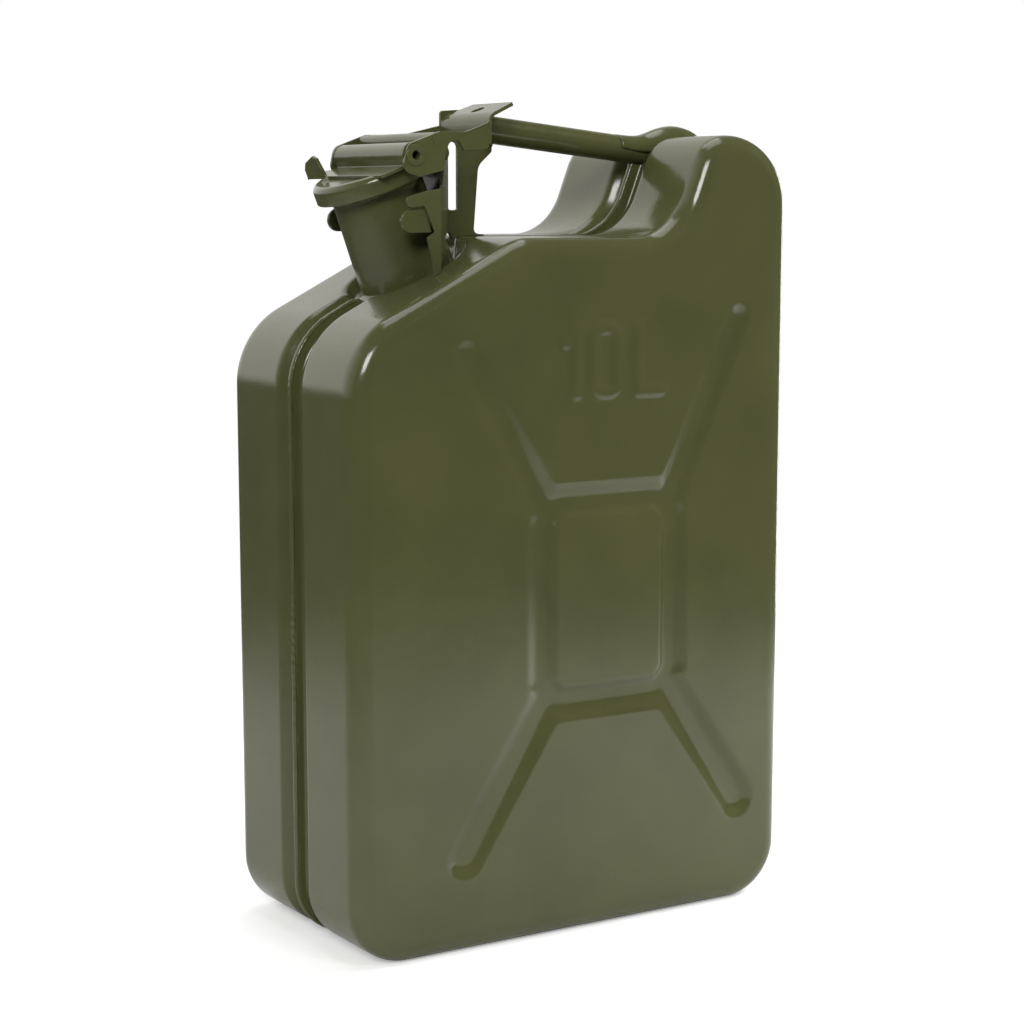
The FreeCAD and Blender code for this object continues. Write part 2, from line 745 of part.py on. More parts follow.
def strut_welds():
    """Weld runs on both sides where the tube meets the strut's head."""
    half = STRUT_THICK / 2
    bead = Part.makeCylinder(1.3, 9.0, Vector(-21.6, half, 386.2), Vector(9, 0, -1))
    bead = bead.cut(box(-60, 60, -half, half, 300, 420)).cut(tube_solid(TUBE_RADIUS))
    far = max(bead.Solids, key=lambda s: s.Volume)
    return Part.makeCompound([far, mirrored(far)])


# ---------------------------------------------------------------- export
def main():
    os.makedirs("parts", exist_ok=True)
    halves, pad_clear = shells()
    can = body_solid(0.0)
    flange_form = outline_prism(0.0, -3, 3).cut(pad_clear)
    parts = dict(halves)
    parts["seam_bead"] = seam_bead(pad_clear)
    parts["neck_tube"] = neck_tube()
    parts["neck_rim"] = neck_rim()
    parts["neck_weld"] = neck_weld()
    parts["breather_tube"] = breather_tube()
    parts["breather_clip"] = breather_clip()
    parts["hinge_bracket"] = hinge_bracket()
    parts["catch_lugs"] = catch_lugs()
    parts["hinge_pin"] = hinge_pin()
    parts["lid_cap"] = lid_cap()
    parts["lid_seal"] = lid_seal()
    parts["seal_retainer"] = seal_retainer()
    parts["retainer_rivet"] = retainer_rivet()
    parts["lid_bridge"] = lid_bridge()
    parts["lever"] = lever()
    parts["lever_pin"] = lever_pin()
    parts["lever_washers"] = lever_washers()
    parts["lever_crossbar"] = lever_crossbar()
    parts["crossbar_rod"] = crossbar_rod()
    parts["handle_tube"] = handle_tube(can, flange_form)
    parts["handle_saddle"] = handle_saddle(can)
    parts["handle_strut"] = handle_strut(flange_form)
    parts["strut_welds"] = strut_welds()
    for name, shape in parts.items():
        shape.exportStep("parts/" + name + ".step")
        facts = (name, len(shape.Solids), shape.isValid(), shape.Volume)
        print("%-16s solids %d valid %s volume %.1f" % facts)


main()
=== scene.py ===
"""Pressed steel jerry can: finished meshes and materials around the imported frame."""

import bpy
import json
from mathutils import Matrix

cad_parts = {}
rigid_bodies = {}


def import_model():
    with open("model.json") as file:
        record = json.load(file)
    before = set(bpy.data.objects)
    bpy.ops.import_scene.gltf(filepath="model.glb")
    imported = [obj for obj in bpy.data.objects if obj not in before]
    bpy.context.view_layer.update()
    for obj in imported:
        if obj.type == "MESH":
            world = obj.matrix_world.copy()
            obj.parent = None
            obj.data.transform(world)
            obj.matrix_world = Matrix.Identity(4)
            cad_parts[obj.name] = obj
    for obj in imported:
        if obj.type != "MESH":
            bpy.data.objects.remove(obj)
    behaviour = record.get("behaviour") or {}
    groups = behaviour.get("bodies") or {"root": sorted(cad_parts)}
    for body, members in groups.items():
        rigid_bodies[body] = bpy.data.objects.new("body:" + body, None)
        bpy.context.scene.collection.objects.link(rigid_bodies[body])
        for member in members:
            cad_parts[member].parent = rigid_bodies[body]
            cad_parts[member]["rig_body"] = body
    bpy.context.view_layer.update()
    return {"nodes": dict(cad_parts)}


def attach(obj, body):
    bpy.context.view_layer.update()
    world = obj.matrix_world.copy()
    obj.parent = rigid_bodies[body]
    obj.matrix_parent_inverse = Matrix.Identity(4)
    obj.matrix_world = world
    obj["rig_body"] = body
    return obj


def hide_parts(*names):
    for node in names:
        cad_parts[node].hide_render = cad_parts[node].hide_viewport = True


bl_info = {
    "name": "Jerry can",
    "version": (1, 0, 0),
    "blender": (4, 5, 0),
    "location": "View3D > Sidebar > Jerry can",
    "description": "Builds a pressed steel fuel can with a lever closure",
    "category": "Add Mesh",
}

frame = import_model()

import json
import math

import bmesh
import bpy
import numpy as np

MM = 0.001

# the stage: floor radius in metres, how much the floor glows to the camera, and the
# room's reflected light, brightest towards one side
FLOOR_REACH = 1.0
FLOOR_GLOW = 0.35
ROOM_BRIGHT_SIDE = (-0.45, 0.85, 0.27)
ROOM_DIM = 0.10
ROOM_BRIGHT = 1.5

# corners of the can's side outline: x, z and rounding, in millimetres
OUTLINE = (
    (-125.0, 0.0, 29.0),
    (125.0, 0.0, 29.0),
    (125.0, 390.0, 34.0),
    (76.0, 390.0, 20.0),
    (57.0, 341.0, 32.0),
    (-32.0, 341.0, 25.0),
    (-125.0, 294.0, 42.0),
)
NECK_FOOT = np.array([-59.2, 0.0, 320.3])
NECK_LEAN = math.radians(21.5)
# radius of the round opening in the sheet under the neck
NECK_HOLE = 22.9

# the raised panel inside the pressed ring: x and z of its middle, half width and height
PANEL_MIDDLE = np.array([15.0, 166.5])
PANEL_HALF = np.array([31.5, 42.0])
RING_CORNER = 12.0
# how far an arm's wall and the ring's wall blend where they meet
ARM_BLEND = 3.0
# arms of the pressed cross: end x, end z, width at the ring, width at the tip
ARMS = (
    (-65.0, 287.0, 13.0, 12.0),
    (93.0, 301.0, 14.0, 9.0),
    (-66.0, 48.0, 15.0, 17.0),
    (96.0, 55.0, 15.0, 16.0),
)
# the capacity mark: lower and upper ends of its letters, middle of the 1, 0 and L
MARK_LOW, MARK_HIGH = 267.0, 298.0
MARK_ONE, MARK_ZERO, MARK_ELL = -4.6, 12.5, 31.5
# where the side sheet starts to fall into the channel beside the seam, and how far it runs
CHANNEL_START = -14.5
CHANNEL_RUN = 8.3
# crest and lower edge of the handle's flared end: x, crest z, half width, edge z
FLARE = (
    (62.0, 391.4, 7.2, 384.5),
    (70.0, 390.8, 7.4, 383.0),
    (76.0, 390.9, 8.0, 382.6),
    (81.0, 392.4, 8.8, 382.9),
    (87.0, 394.6, 9.6, 383.7),
    (93.0, 395.9, 9.9, 385.4),
    (98.0, 396.1, 9.4, 388.4),
    (104.0, 395.0, 7.8, 389.6),
    (109.0, 393.2, 5.2, 390.2),
    (112.5, 391.6, 1.6, 390.8),
)
FLARE_SHEET = 1.6


def mm(default, low, high, text):
    """A length property in millimetres."""
    return bpy.props.FloatProperty(name=text.split(",")[0].capitalize(), description=text,
                                   default=default, min=low, max=high)


def tint(colour, text):
    """A colour property."""
    return bpy.props.FloatVectorProperty(name=text.capitalize(), description=text, size=3,
                                         default=colour, min=0.0, max=1.0, subtype="COLOR")


class JerrySizes(bpy.types.PropertyGroup):
    """Sizes of the can's pressed sheet, in millimetres."""
    half_depth: mm(64.0, 40.0, 100.0, "half depth, from the seam to a wide face")
    edge_radius: mm(10.0, 4.0, 20.0, "edge radius, round the wide faces")
    press_depth: mm(2.6, 0.5, 5.0, "press depth, of the ring and its arms")
    groove_width: mm(13.0, 6.0, 20.0, "groove width, of the pressed ring")
    crown: mm(1.7, 0.0, 4.0, "crown, outward swell of a wide face")
    channel_depth: mm(6.0, 2.0, 10.0, "channel depth, beside the seam")
    pad_radius: mm(27.0, 20.0, 35.0, "pad radius, of the flat round the neck")
    letter_rise: mm(0.9, 0.0, 2.0, "letter rise, of the capacity mark")
    bead_radius: mm(1.5, 0.5, 3.0, "bead radius, of the seam weld")
    tube_radius: mm(6.7, 4.0, 12.0, "tube radius, of the handle")


class JerryColours(bpy.types.PropertyGroup):
    """Colours of the can's finishes."""
    paint: tint((0.074, 0.079, 0.029), "olive paint")
    paint_thin: tint((0.130, 0.130, 0.070), "paint where it thins on an edge")
    steel: tint((0.50, 0.50, 0.47), "plated steel")
    rubber: tint((0.02, 0.02, 0.02), "rubber")
    floor: tint((0.86, 0.86, 0.86), "floor")


# ------------------------------------------------------------------ mesh helpers
def smooth(t):
    """Smooth step from 0 to 1 as t goes from 0 to 1."""
    t = np.clip(t, 0.0, 1.0)
    return t * t * (3.0 - 2.0 * t)


def neck_to_can(points):
    """Neck frame (rearward, across, along the axis) to the can's frame."""
    c, s = math.cos(NECK_LEAN), math.sin(NECK_LEAN)
    q, y, t = points[..., 0], points[..., 1], points[..., 2]
    return NECK_FOOT + np.stack([q * c - t * s, y, q * s + t * c], axis=-1)


def can_to_neck(points):
    """Inverse of neck_to_can."""
    c, s = math.cos(NECK_LEAN), math.sin(NECK_LEAN)
    local = points - NECK_FOOT
    x, y, z = local[..., 0], local[..., 1], local[..., 2]
    return np.stack([x * c + z * s, y, -x * s + z * c], axis=-1)


def grid_quads(rows, columns, wrap_rows=False, wrap_columns=False):
    """Quads of a rows x columns grid of vertices."""
    r = np.arange(rows if wrap_rows else rows - 1)
    c = np.arange(columns if wrap_columns else columns - 1)
    r, c = np.meshgrid(r, c, indexing="ij")
    r1, c1 = (r + 1) % rows, (c + 1) % columns
    quads = np.stack([r * columns + c, r * columns + c1, r1 * columns + c1, r1 * columns + c], -1)
    return quads.reshape(-1, 4)


def make_piece(name, points, quads, body, material, replaces=(), caps=()):
    """Mesh object from points in millimetres, quads and extra n-gon caps."""
    mesh = bpy.data.meshes.new(name)
    points = np.asarray(points, float).reshape(-1, 3) * MM
    loops = np.concatenate([np.asarray(quads).reshape(-1)] + [np.asarray(c) for c in caps])
    sizes = np.array([4] * len(quads) + [len(c) for c in caps])
    starts = np.concatenate([[0], np.cumsum(sizes)[:-1]])
    mesh.vertices.add(len(points))
    mesh.vertices.foreach_set("co", points.ravel())
    mesh.loops.add(len(loops))
    mesh.loops.foreach_set("vertex_index", loops.astype(np.int32))
    mesh.polygons.add(len(sizes))
    mesh.polygons.foreach_set("loop_start", starts.astype(np.int32))
    mesh.update(calc_edges=True)
    mesh.validate()
    mesh.shade_smooth()
    return place(bpy.data.objects.new(name, mesh), body, material, replaces)


def place(piece, body, material, replaces=()):
    """Links a piece, gives it its finish and lets it ride on its body."""
    bpy.context.scene.collection.objects.link(piece)
    piece.data.materials.clear()
    piece.data.materials.append(material)
    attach(piece, body)
    if replaces:
        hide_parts(*replaces)
    return piece


def softened(node, name, material, width=0.4, clamp=True, shortest=0.0):
    """Merged copy of a CAD node with small rounded edges.

    Very short edges would clamp the rounding of a whole sheet to nothing. Such a sheet is
    rounded without the clamp, after edges under the shortest length are closed up.
    """
    mesh = bpy.data.meshes.new(name)
    work = bmesh.new()
    work.from_mesh(frame["nodes"][node].data)
    bmesh.ops.remove_doubles(work, verts=work.verts, dist=2e-6)
    bmesh.ops.dissolve_limit(work, angle_limit=math.radians(0.4), verts=work.verts,
                             edges=work.edges)
    if shortest > 0.0:
        bmesh.ops.remove_doubles(work, verts=work.verts, dist=shortest * MM)
        bmesh.ops.dissolve_degenerate(work, dist=shortest * MM, edges=work.edges)
    work.to_mesh(mesh)
    work.free()
    mesh.materials.clear()
    mesh.shade_smooth()
    piece = bpy.data.objects.new(name, mesh)
    bevel = piece.modifiers.new("round edges", "BEVEL")
    bevel.width = width * MM
    bevel.segments = 2
    bevel.use_clamp_overlap = clamp
    bevel.limit_method = "ANGLE"
    bevel.angle_limit = math.radians(32.0)
    bevel.miter_outer = "MITER_ARC"
    weight = piece.modifiers.new("even shading", "WEIGHTED_NORMAL")
    weight.keep_sharp = True
    body = frame["nodes"][node]["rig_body"]
    return place(piece, body, material, (node,))


def lathe(name, profile, body, material, replaces, turns=128, solid=False):
    """Profile of (radius, height) points turned round the neck's axis.

    The point at angle a is (r cos a, r sin a, h) in the neck's frame. A solid piece's
    profile is open, and its two small end rings are closed by a face each.
    """
    profile = np.asarray(profile, float)
    angle = np.linspace(0.0, 2.0 * math.pi, turns, endpoint=False)
    radius, height = profile[:, 0][:, None], profile[:, 1][:, None]
    points = np.stack([radius * np.cos(angle), radius * np.sin(angle),
                       height * np.ones_like(angle)], -1)
    quads = grid_quads(len(profile), turns, wrap_rows=not solid, wrap_columns=True)
    first = np.arange(turns)
    caps = (first[::-1], first + (len(profile) - 1) * turns) if solid else ()
    return make_piece(name, neck_to_can(points), quads, body, material, replaces, caps)


def corner_arc(corners, i):
    """Arc that rounds corner i of a closed (a, b, radius) outline.

    Returns its centre, its first angle, its sweep, and 1 where the corner points out of a
    counter-clockwise outline or -1 where it points in.
    """
    here, radius = corners[i, :2], corners[i, 2]
    back = corners[i - 1, :2] - here
    ahead = corners[(i + 1) % len(corners), :2] - here
    back /= np.linalg.norm(back)
    ahead /= np.linalg.norm(ahead)
    half = math.acos(np.clip(back @ ahead, -1.0, 1.0)) / 2.0
    middle = back + ahead
    centre = here + middle / np.linalg.norm(middle) * radius / math.sin(half)
    first = here + back * radius / math.tan(half) - centre
    last = here + ahead * radius / math.tan(half) - centre
    begin = math.atan2(first[1], first[0])
    sweep = (math.atan2(last[1], last[0]) - begin + math.pi) % (2 * math.pi) - math.pi
    convex = np.sign(back[1] * ahead[0] - back[0] * ahead[1])
    return centre, begin, sweep, convex


def rounded_profile(corners, steps=5):
    """Closed (a, b, radius) outline with each corner turned into a short arc."""
    corners = np.asarray(corners, float)
    points = []
    for i, radius in enumerate(corners[:, 2]):
        if radius <= 0.0:
            points.append(corners[i, :2])
            continue
        centre, begin, sweep, _ = corner_arc(corners, i)
        for turn in begin + sweep * np.linspace(0.0, 1.0, steps + 1):
            points.append(centre + radius * np.array([math.cos(turn), math.sin(turn)]))
    return np.array(points)


# ------------------------------------------------------------------ outline of the can
def outline_samples(step=0.2):
    """Dense points on the outline, their outward normals, and corner index of each.

    Each corner is an arc tangent to both its straight runs, so the normal turns evenly
    along an arc and is constant along a run.
    """
    corners = np.asarray(OUTLINE)
    points, normals, owner = [], [], []
    for i, radius in enumerate(corners[:, 2]):
        centre, begin, sweep, convex = corner_arc(corners, i)
        turn = begin + sweep * np.linspace(0, 1, max(8, int(abs(sweep) * radius / step)))
        unit = np.stack([np.cos(turn), np.sin(turn)], -1)
        points.append(centre + radius * unit)
        normals.append(unit * convex)
        owner.append(np.full(len(turn), i))
    return np.concatenate(points), np.concatenate(normals), np.concatenate(owner)


def face_grid(columns, rows, inset):
    """Grid that fills the outline moved inwards by inset, and its border's outline data.

    A column stands at each x, and its points divide the height between the lower and
    upper edges evenly. Columns are even in the mean length of those two edges.
    """
    outer, normal, owner = outline_samples()
    inner = outer - normal * inset

    def edge(chosen):
        """Inner x and z, outer points and normals of the chosen samples, by rising x."""
        order = np.argsort(inner[chosen][:, 0], kind="stable")
        xs, zs = inner[chosen][order].T
        return xs, zs, outer[chosen][order], normal[chosen][order]

    low_x, low_z, low_outer, low_normal = edge(owner <= 1)
    high_x, high_z, high_outer, high_normal = edge(owner >= 2)
    fine = np.linspace(low_x[0], low_x[-1], 6000)
    length = np.zeros(len(fine))
    for xs, zs in ((low_x, low_z), (high_x, high_z)):
        height = np.interp(fine, xs, zs)
        run = np.hypot(np.diff(fine), np.diff(height))
        length[1:] += np.cumsum(run) / 2.0
    x = np.interp(np.linspace(0, length[-1], columns), length, fine)
    bottom, top = np.interp(x, low_x, low_z), np.interp(x, high_x, high_z)
    v = np.linspace(0.0, 1.0, rows)[:, None]
    grid_x = x[None, :] * np.ones_like(v)
    grid_z = bottom + (top - bottom) * v

    def along(xs, table):
        """Both columns of a table over xs, read at each column of the grid."""
        return np.stack([np.interp(x, xs, table[:, k]) for k in (0, 1)], -1)

    half_width = OUTLINE[1][0]
    side_z_right, side_z_left = grid_z[1:-1, -1], grid_z[1:-1, 0]
    right = np.stack([np.full(len(side_z_right), half_width), side_z_right], -1)
    left = np.stack([np.full(len(side_z_left), -half_width), side_z_left], -1)
    border = np.concatenate([along(low_x, low_outer), right,
                             along(high_x, high_outer)[::-1], left[::-1]])
    facing = np.concatenate([along(low_x, low_normal), np.tile([1.0, 0.0], (len(right), 1)),
                             along(high_x, high_normal)[::-1],
                             np.tile([-1.0, 0.0], (len(left), 1))])
    facing /= np.linalg.norm(facing, axis=1)[:, None]
    index = np.arange(rows * columns).reshape(rows, columns)
    ring = np.concatenate([index[0], index[1:-1, -1], index[-1][::-1], index[1:-1, 0][::-1]])
    return grid_x, grid_z, border, facing, ring


def segment_distance(x, z, a, b):
    """Distance from (x, z) to the segment ab, and how far along it the nearest point is."""
    run = np.subtract(b, a)
    t = np.clip(((x - a[0]) * run[0] + (z - a[1]) * run[1]) / (run @ run), 0.0, 1.0)
    return np.hypot(x - a[0] - t * run[0], z - a[1] - t * run[1]), t


def box_distance(x, z, middle, half, radius):
    """Signed distance from (x, z) to an upright rectangle with rounded corners."""
    qx = np.abs(x - middle[0]) - half[0] + radius
    qz = np.abs(z - middle[1]) - half[1] + radius
    outside = np.hypot(np.maximum(qx, 0), np.maximum(qz, 0))
    return outside + np.minimum(np.maximum(qx, qz), 0) - radius


def pressed_in(x, z, sizes):
    """Depth of the pressed ring and arms at (x, z).

    The ring is where the distance to a rounded rectangle is under half the groove's
    width, an arm where the distance to a line is. Outer walls fall slowly, the ring's
    inner wall falls more sharply, and the arm on the neck's side is pressed less deep.
    """
    middle = sizes.groove_width / 2.0
    around = box_distance(x, z, PANEL_MIDDLE, PANEL_HALF + middle, RING_CORNER)
    distance = np.abs(around) - middle
    inner_side = smooth((-around - 1.0) / 3.0)
    for end_x, end_z, wide, narrow in ARMS:
        side = np.sign([end_x - PANEL_MIDDLE[0], end_z - PANEL_MIDDLE[1]])
        start = PANEL_MIDDLE + side * (PANEL_HALF + middle - ARM_BLEND)
        away, t = segment_distance(x, z, start, (end_x, end_z))
        arm = away - (wide + (narrow - wide) * t) / 2.0
        blend = np.clip(0.5 + 0.5 * (arm - distance) / ARM_BLEND, 0, 1)
        distance = arm * (1 - blend) + distance * blend - ARM_BLEND * blend * (1 - blend)
    soft = 1.0 - smooth((distance + 4.2) / 7.8)
    crisp = 1.0 - smooth((distance + 3.0) / 4.2)
    depth = sizes.press_depth * (soft * (1 - inner_side) + crisp * inner_side)
    faint = smooth((-20.0 - x) / 24.0) * smooth((z - 214.0) / 24.0)
    return depth * (1.0 - 0.5 * faint)


def letters(x, z, sizes):
    """Rise of the capacity mark 10L: strokes of even width with soft shoulders."""
    strokes = (((MARK_ONE, MARK_LOW), (MARK_ONE, MARK_HIGH)),
               ((MARK_ONE, MARK_HIGH), (MARK_ONE - 5.9, MARK_HIGH - 6.5)),
               ((MARK_ELL, MARK_LOW), (MARK_ELL, MARK_HIGH)),
               ((MARK_ELL, MARK_LOW), (MARK_ELL + 14.0, MARK_LOW)))
    zero_middle = (MARK_ZERO, (MARK_LOW + MARK_HIGH) / 2)
    zero_half = (7.0, (MARK_HIGH - MARK_LOW) / 2)
    distance = np.abs(box_distance(x, z, zero_middle, zero_half, 6.0))
    for a, b in strokes:
        distance = np.minimum(distance, segment_distance(x, z, a, b)[0])
    return sizes.letter_rise * (1.0 - smooth((distance - 1.2) / 3.2))


def band_profile(sizes):
    """Across the narrow side, from a wide face's edge to the seam: (inset, y) points.

    A quarter circle round the edge, a straight run, a smooth fall into the channel, its
    floor, and the side of the seam's upstanding flange.
    """
    depth, radius = sizes.half_depth, sizes.edge_radius
    turn = np.linspace(0.0, math.pi / 2, 11)[1:]
    edge = np.stack([radius * (1 - np.sin(turn)), -depth + radius * (1 - np.cos(turn))], -1)
    run = np.linspace(-depth + radius, CHANNEL_START, 27)[1:]
    flat = np.stack([np.zeros(len(run)), run], -1)
    fall = np.linspace(0, 1, 11)[1:]
    base = sizes.channel_depth
    drop = np.stack([base * smooth(fall), CHANNEL_START + CHANNEL_RUN * fall], -1)
    ridge = np.array([(base, -4.2), (base - 0.1, -2.9), (base - 0.7, -2.1), (base - 1.8, -1.7),
                      (2.4, -1.55), (1.0, -1.4), (0.5, -0.9), (0.4, 0.0)])
    return np.concatenate([edge, flat, drop, ridge])


def press_pad(points, sizes, extra=0.0):
    """Lowers points round the neck to the plane of its foot, with a smooth wall.

    The pad lies extra millimetres below the foot's plane.
    """
    local = can_to_neck(points)
    away = np.hypot(local[..., 0], local[..., 1])
    weight = 1.0 - smooth((away - sizes.pad_radius + 0.5) / 6.5)
    weight = np.where(local[..., 2] > -25.0, weight, 0.0)
    lift = np.maximum(local[..., 2] + extra, 0.0)
    local[..., 2] -= lift * weight
    return neck_to_can(local)


def waves(x, z, seed):
    """Slow unevenness of sheet metal: a sum of a few long sine waves, about -1 to 1."""
    total = np.zeros(np.shape(x))
    rng = np.random.default_rng(seed)
    for _ in range(6):
        kx, kz = rng.uniform(-0.05, 0.05, 2)
        total += np.sin(kx * x + kz * z + rng.uniform(0, 6.28))
    return total / 4.0


def make_half(name, side, node, sizes, material):
    """One pressed half: the wide face and its side of the band, as one skin.

    side is -1 for the near half, which carries the capacity mark, and 1 for the far one.
    """
    columns, rows = 172, 240
    grid_x, grid_z, border, facing, ring = face_grid(columns, rows, sizes.edge_radius)
    edge = np.minimum(1 - (grid_x / 116.0) ** 2, 1.0) * (1 - ((grid_z - 175.0) / 190.0) ** 2)
    out = sizes.crown * np.clip(edge, 0, 1) ** 1.2
    out = out + 0.12 * waves(grid_x, grid_z, 3 + side) * smooth(np.clip(edge, 0, 1) * 3)
    out = out - pressed_in(grid_x, grid_z, sizes)
    if side < 0:
        out = out + letters(grid_x, grid_z, sizes)
    face_points = np.stack([grid_x, -(sizes.half_depth + out), grid_z], -1).reshape(-1, 3)

    profile = band_profile(sizes)
    inset, across = profile[:, 0][:, None], profile[:, 1][:, None]
    band_x = border[:, 0] - inset * facing[:, 0]
    band_z = border[:, 1] - inset * facing[:, 1]
    band = np.stack([band_x, across * np.ones_like(band_x), band_z], -1)
    band = press_pad(band, sizes)
    index = np.concatenate([ring[None], len(face_points)
                            + np.arange(band_x.size).reshape(band_x.shape)])
    ahead = np.roll(index, -1, axis=1)
    strip = np.stack([index[:-1], index[1:], ahead[1:], ahead[:-1]], -1).reshape(-1, 4)
    points = np.concatenate([face_points, band.reshape(-1, 3)])
    quads = np.concatenate([grid_quads(rows, columns), strip])
    local = can_to_neck(points)
    in_hole = (np.hypot(local[:, 0], local[:, 1]) < NECK_HOLE) & (local[:, 2] > -6.0)
    quads = quads[~in_hole[quads].any(axis=1)]
    if side > 0:
        points = points * np.array([1.0, -1.0, 1.0])
        quads = quads[:, ::-1]
    used = np.zeros(len(points), bool)
    used[quads] = True
    number = np.cumsum(used) - 1
    return make_piece(name, points[used], number[quads], "tank", material, (node,))


# ------------------------------------------------------------------ materials
def node(tree, kind, **values):
    """New shader node with socket values and plain attributes set."""
    made = tree.nodes.new(kind)
    for key, value in values.items():
        if key in made.inputs:
            made.inputs[key].default_value = value
        else:
            setattr(made, key, value)
    return made


def start_group(name, inputs, outputs):
    """Empty shader node group with named float, colour or vector sockets."""
    group = bpy.data.node_groups.new(name, "ShaderNodeTree")
    kinds = {"v": "NodeSocketFloat", "c": "NodeSocketColor", "p": "NodeSocketVector"}
    for label, kind, value in inputs:
        socket = group.interface.new_socket(label, in_out="INPUT", socket_type=kinds[kind])
        if value is not None:
            socket.default_value = value
    for label, kind in outputs:
        group.interface.new_socket(label, in_out="OUTPUT", socket_type=kinds[kind])
    entry = group.nodes.new("NodeGroupInput")
    leave = group.nodes.new("NodeGroupOutput")
    return group, entry, leave


def paint_skin_group():
    """Sprayed gloss paint: orange peel height, slow tone and roughness drift."""
    group, entry, leave = start_group(
        "paint skin",
        [("Position", "p", None), ("Peel size", "v", 420.0), ("Drift size", "v", 16.0)],
        [("Height", "v"), ("Tone", "v"), ("Gloss drift", "v")])
    link = group.links.new
    peel = node(group, "ShaderNodeTexNoise", Detail=2.0, Roughness=0.45)
    link(entry.outputs["Position"], peel.inputs["Vector"])
    link(entry.outputs["Peel size"], peel.inputs["Scale"])
    sag = node(group, "ShaderNodeTexNoise", Scale=60.0, Detail=1.0)
    link(entry.outputs["Position"], sag.inputs["Vector"])
    both = node(group, "ShaderNodeMath", operation="MULTIPLY_ADD")
    both.inputs[1].default_value = 1.6
    link(sag.outputs["Fac"], both.inputs[0])
    link(peel.outputs["Fac"], both.inputs[2])
    link(both.outputs[0], leave.inputs["Height"])
    drift = node(group, "ShaderNodeTexNoise", Detail=3.0, Roughness=0.55)
    link(entry.outputs["Position"], drift.inputs["Vector"])
    link(entry.outputs["Drift size"], drift.inputs["Scale"])
    link(drift.outputs["Fac"], leave.inputs["Tone"])
    haze = node(group, "ShaderNodeTexNoise", Scale=48.0, Detail=4.0, Roughness=0.6)
    link(entry.outputs["Position"], haze.inputs["Vector"])
    link(haze.outputs["Fac"], leave.inputs["Gloss drift"])
    return group


def edge_wear_group():
    """Where an outer edge thins the paint: sharp convex places, broken up by noise."""
    group, entry, leave = start_group(
        "edge wear",
        [("Position", "p", None), ("Start", "v", 0.53), ("Full", "v", 0.60),
         ("Breakup", "v", 240.0)],
        [("Mask", "v")])
    link = group.links.new
    shape = node(group, "ShaderNodeNewGeometry")
    ramp = node(group, "ShaderNodeMapRange")
    link(shape.outputs["Pointiness"], ramp.inputs["Value"])
    link(entry.outputs["Start"], ramp.inputs["From Min"])
    link(entry.outputs["Full"], ramp.inputs["From Max"])
    noise = node(group, "ShaderNodeTexNoise", Detail=4.0, Roughness=0.6)
    link(entry.outputs["Position"], noise.inputs["Vector"])
    link(entry.outputs["Breakup"], noise.inputs["Scale"])
    product = node(group, "ShaderNodeMath", operation="MULTIPLY")
    link(ramp.outputs["Result"], product.inputs[0])
    link(noise.outputs["Fac"], product.inputs[1])
    link(product.outputs[0], leave.inputs["Mask"])
    return group


def dust_group():
    """Fine dust: lies on faces that look up, in small specks and soft patches."""
    group, entry, leave = start_group(
        "dust", [("Position", "p", None), ("Amount", "v", 0.2)], [("Mask", "v")])
    link = group.links.new
    shape = node(group, "ShaderNodeNewGeometry")
    parts = node(group, "ShaderNodeSeparateXYZ")
    link(shape.outputs["Normal"], parts.inputs[0])
    up = node(group, "ShaderNodeMapRange")
    up.inputs["From Min"].default_value = 0.2
    up.inputs["From Max"].default_value = 1.0
    link(parts.outputs["Z"], up.inputs["Value"])
    specks = node(group, "ShaderNodeTexNoise", Scale=900.0, Detail=3.0, Roughness=0.7)
    link(entry.outputs["Position"], specks.inputs["Vector"])
    sharp = node(group, "ShaderNodeMapRange")
    sharp.inputs["From Min"].default_value = 0.52
    sharp.inputs["From Max"].default_value = 0.72
    link(specks.outputs["Fac"], sharp.inputs["Value"])
    a = node(group, "ShaderNodeMath", operation="MULTIPLY")
    link(up.outputs["Result"], a.inputs[0])
    link(sharp.outputs["Result"], a.inputs[1])
    b = node(group, "ShaderNodeMath", operation="MULTIPLY")
    link(a.outputs[0], b.inputs[0])
    link(entry.outputs["Amount"], b.inputs[1])
    link(b.outputs[0], leave.inputs["Mask"])
    return group


def placed_group(tree, maker, name, **values):
    """A node that uses the named group, building the group the first time."""
    group = bpy.data.node_groups.get(name) or maker()
    made = tree.nodes.new("ShaderNodeGroup")
    made.node_tree = group
    for key, value in values.items():
        made.inputs[key.replace("_", " ")].default_value = value
    return made


def new_material(name):
    """Material with an empty tree, a Principled shader and object coordinates."""
    material = bpy.data.materials.new(name)
    material.use_nodes = True
    tree = material.node_tree
    tree.nodes.clear()
    out = tree.nodes.new("ShaderNodeOutputMaterial")
    shader = tree.nodes.new("ShaderNodeBsdfPrincipled")
    tree.links.new(shader.outputs[0], out.inputs[0])
    where = tree.nodes.new("ShaderNodeTexCoord")
    return material, tree, shader, where.outputs["Object"]


def mixed(tree, factor, first, second):
    """Colour mix of two sockets or fixed colours by a factor socket."""
    mix = tree.nodes.new("ShaderNodeMix")
    mix.data_type = "RGBA"
    tree.links.new(factor, mix.inputs["Factor"])
    for label, value in (("A", first), ("B", second)):
        socket = [s for s in mix.inputs if s.name == label and s.type == "RGBA"][0]
        if isinstance(value, bpy.types.NodeSocket):
            tree.links.new(value, socket)
        else:
            socket.default_value = (*value, 1.0)
    return [s for s in mix.outputs if s.type == "RGBA"][0]


def ranged(tree, value, low, high, from_low=0.0, from_high=1.0):
    """A value mapped from one range to another."""
    made = tree.nodes.new("ShaderNodeMapRange")
    tree.links.new(value, made.inputs["Value"])
    for key, number in (("From Min", from_low), ("From Max", from_high), ("To Min", low),
                        ("To Max", high)):
        made.inputs[key].default_value = number
    return made.outputs["Result"]


